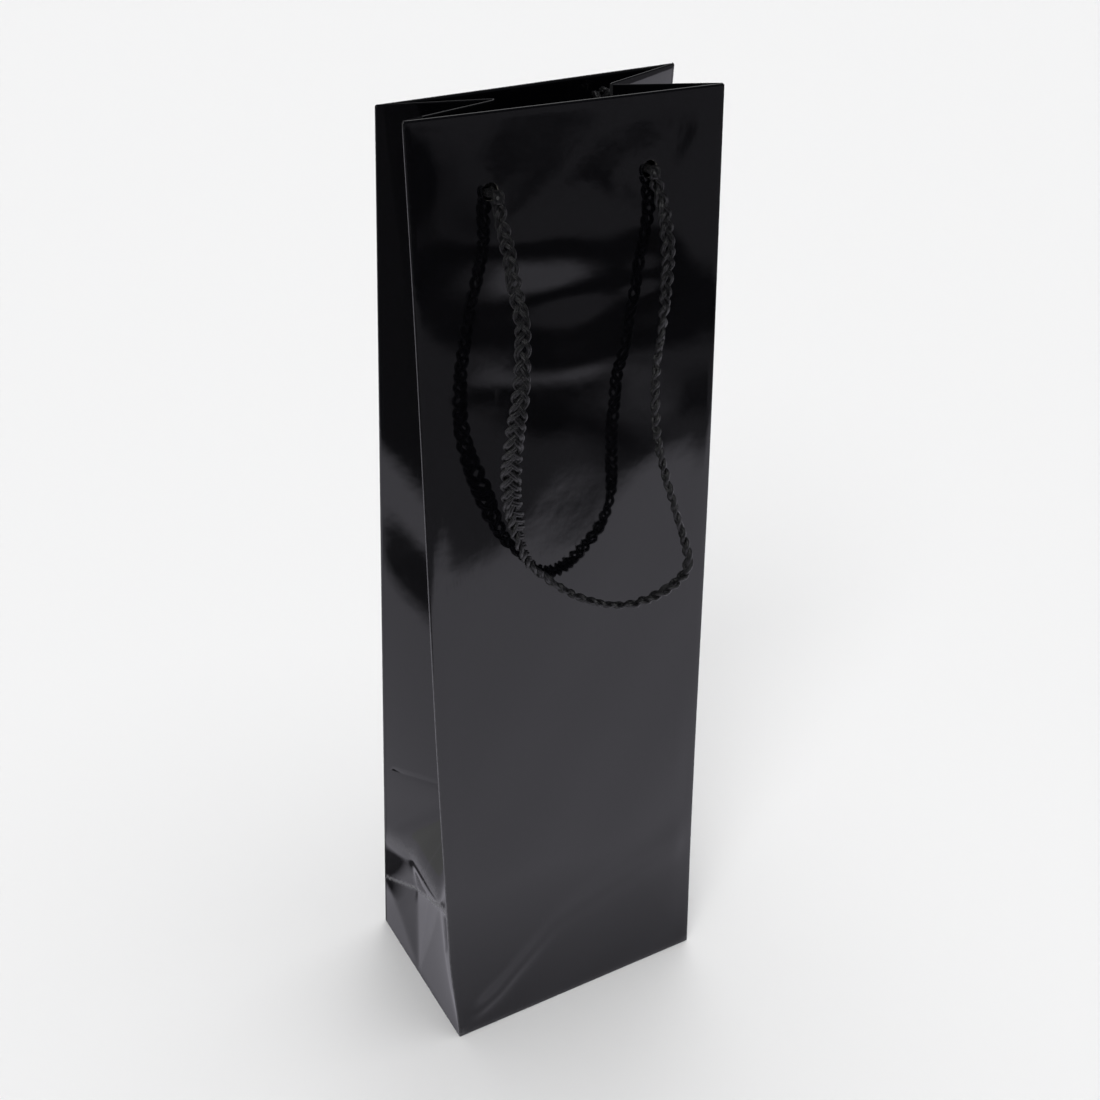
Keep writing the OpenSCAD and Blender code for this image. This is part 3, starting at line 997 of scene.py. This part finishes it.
# A painted reflection: what the gloss reflects is drawn as light on one plane at the floor, a white table
# with painted shade close to the bag, and a dim room beyond it with painted lighter and darker patches.
# Each patch is an ellipse on the floor's plane: the distance and the side of its middle, half its length
# and half its width, the share of it that is soft, and light.
TABLE = (-1.4, -0.56), (1.8, 1.3), (0.03, 0.03)
SHADE = (-0.1, -0.085), (0.1, 0.085), (0.04, 0.04)
ROOM = 0.2
PAINTED_ROOM_REFLECTIONS = [
    (1.06, -0.53, 0.13, 0.6, 0.3, -0.17), (1.8, -0.9, 0.72, 0.25, 0.25, -0.18),
    (0.8, -0.55, 0.075, 0.085, 0.5, 0.42), (0.77, -0.4, 0.035, 0.03, 0.6, 0.15),
    (0.67, -0.6, 0.05, 0.12, 0.4, -0.17), (0.63, -0.44, 0.06, 0.06, 0.5, -0.12),
    (0.74, -0.61, 0.025, 0.09, 0.5, -0.12), (0.78, -0.36, 0.05, 0.035, 0.5, -0.15),
    (1.81, -0.5, 0.09, 0.035, 0.4, -0.16), (1.98, -0.58, 0.08, 0.025, 0.4, -0.14),
    (2.17, -0.56, 0.1, 0.035, 0.5, -0.14), (1.92, -0.46, 0.06, 0.012, 0.5, -0.16),
    (1.98, -0.43, 0.16, 0.01, 0.5, -0.14),
]
# Painted dark patches on the reflected table, each the middle and the half size of an ellipse: the first
# a dark reflection on the upper left gusset, the second painted shade for the curled left foot's own shadow.
PAINTED_DARK_PATCHES = [((-0.268, -0.172), (0.022, 0.042)), ((-0.084, 0.067), (0.013, 0.017))]


def make_floor():
    """The pale floor and the pale backdrop all round it."""
    floor_made = material("floor_white", Roughness=0.9, Base_Color=(0.8, 0.8, 0.8, 1),
                          Specular_IOR_Level=0.0)[0]
    floor = flat_plane("floor", 9, 9, 0, floor_made)
    floor.visible_glossy = False

    wall_made, _, emission = glow("wall_white")
    emission.inputs["Color"].default_value = (0.95, 0.95, 0.95, 1)
    bpy.ops.mesh.primitive_uv_sphere_add(segments=48, ring_count=24, radius=8.5)
    wall = bpy.context.object
    wall.name = "backdrop"
    wall.data.materials.append(wall_made)
    shown_only_to(wall, camera=True)


def make_reflected_table():
    """A painted reflection: the table, with painted shade near the bag, and the dim room with its patches,
    drawn as light on one plane at the floor that only the gloss sees.
    """
    table_made, tree, emission = glow("painted_table_reflection")
    split = node(tree, "SeparateXYZ", Vector=node(tree, "TexCoord").outputs["Object"])
    x, y = split.outputs[0], split.outputs[1]
    far = math_node(tree, "SUBTRACT", multiply(tree, x, 0.8), multiply(tree, y, 0.6))
    aside = math_node(tree, "DIVIDE", add(tree, multiply(tree, x, 0.6), multiply(tree, y, 0.8)), far)
    toward = add(tree, multiply(tree, x, 0.447), multiply(tree, y, 0.894))
    on_table = multiply(tree, soft_box(tree, (x, y), *TABLE), remap(tree, toward, -0.395, -0.365))
    shade = multiply(tree, soft_box(tree, (x, y), *SHADE), 0.5)
    table = math_node(tree, "SUBTRACT", 0.97, shade)
    for middle, half in PAINTED_DARK_PATCHES:
        spot = soft_ellipse(tree, (x, y), middle, half, 0.3)
        table = multiply(tree, table, math_node(tree, "SUBTRACT", 1.0, multiply(tree, spot, 0.9)))
    light = ROOM
    for far_at, aside_at, long, wide, soft, level in PAINTED_ROOM_REFLECTIONS:
        patch = soft_ellipse(tree, (far, aside), (far_at, aside_at), (long, wide), soft)
        light = add(tree, light, multiply(tree, patch, level))
    room = multiply(tree, math_node(tree, "MAXIMUM", light, 0.02), remap(tree, x, -0.2, 0.05, 0.35, 1.0))
    light = add(tree, multiply(tree, table, on_table),
                multiply(tree, room, math_node(tree, "SUBTRACT", 1.0, on_table)))
    tree.links.new(light, emission.inputs["Strength"])
    emission.inputs["Color"].default_value = (0.98, 0.955, 1.065, 1)
    seen = flat_plane("table_in_reflections", 6, 6, 0.0002, table_made)
    shown_only_to(seen, glossy=True)


def make_soft_panel():
    """A pale panel to the back left that only the gloss sees, and a faint light all round."""
    panel_made, _, emission = glow("soft_panel")
    emission.inputs["Color"].default_value = (0.9, 0.9, 0.9, 1)
    panel = flat_plane("soft_panel", 0.8, 0.6, 0, panel_made)
    panel.rotation_mode = "QUATERNION"
    panel.rotation_quaternion = Vector((0.8, -0.58, -0.3)).to_track_quat("Z", "Y")
    panel.location = (-1.15, 0.85, 0.5)
    shown_only_to(panel, glossy=True)

    world = bpy.data.worlds.new("room")
    world.use_nodes = True
    world.node_tree.nodes["Background"].inputs["Color"].default_value = (0.05, 0.05, 0.055, 1)
    bpy.context.scene.world = world


def soft_light(name, toward, angle, strength):
    """A wide, distant soft light that lights the whole floor evenly."""
    data = bpy.data.lights.new(name, "SUN")
    data.energy = strength
    data.angle = math.radians(angle)
    made = bpy.data.objects.new(name, data)
    made.rotation_mode = "QUATERNION"
    made.rotation_quaternion = Vector(toward).to_track_quat("Z", "Y")
    bpy.context.scene.collection.objects.link(made)
    return made


def make_lights():
    """A soft key from the front left, a weak light from behind, and overhead light off the gloss."""
    soft_light("overhead", (0.2, 0.1, 1), 80, 2.6).visible_glossy = False
    soft_light("key", (-0.75, -0.7, 1.0), 26, 1.0)
    soft_light("back", (0.6, 0.9, 0.8), 35, 0.3)


make_camera()
rope_made = black_braid()
for handle_face in ("front", "back"):
    make_handle(handle_face, rope_made)
    for knot_side in (-1, 1):
        make_knot(handle_face, knot_side, rope_made)

gloss_made, inside_made, card_made = black_gloss(), black_inside(), grey_card()
for panel_face in ("front", "back"):
    make_panel(panel_face, gloss_made, inside_made)
    make_turn_in(panel_face, gloss_made, inside_made)
    make_stiffener(panel_face, card_made)
make_glue_flap(inside_made)
for gusset_side in (-1, 1):
    for is_back in (False, True):
        gusset_half(gusset_side, is_back, gloss_made, inside_made)
        make_gusset_turn_in(gusset_side, is_back, gloss_made, inside_made)

carried_over = {f"{way}_bottom_flap": gloss_made for way in ("front", "back", "left", "right")}
carried_over["base_board"] = card_made
for cad_node, cad_made in carried_over.items():
    frame["nodes"][cad_node].data.materials.clear()
    frame["nodes"][cad_node].data.materials.append(cad_made)

make_floor()
make_reflected_table()
make_soft_panel()
make_lights()
bpy.context.scene.view_settings.view_transform = "Standard"
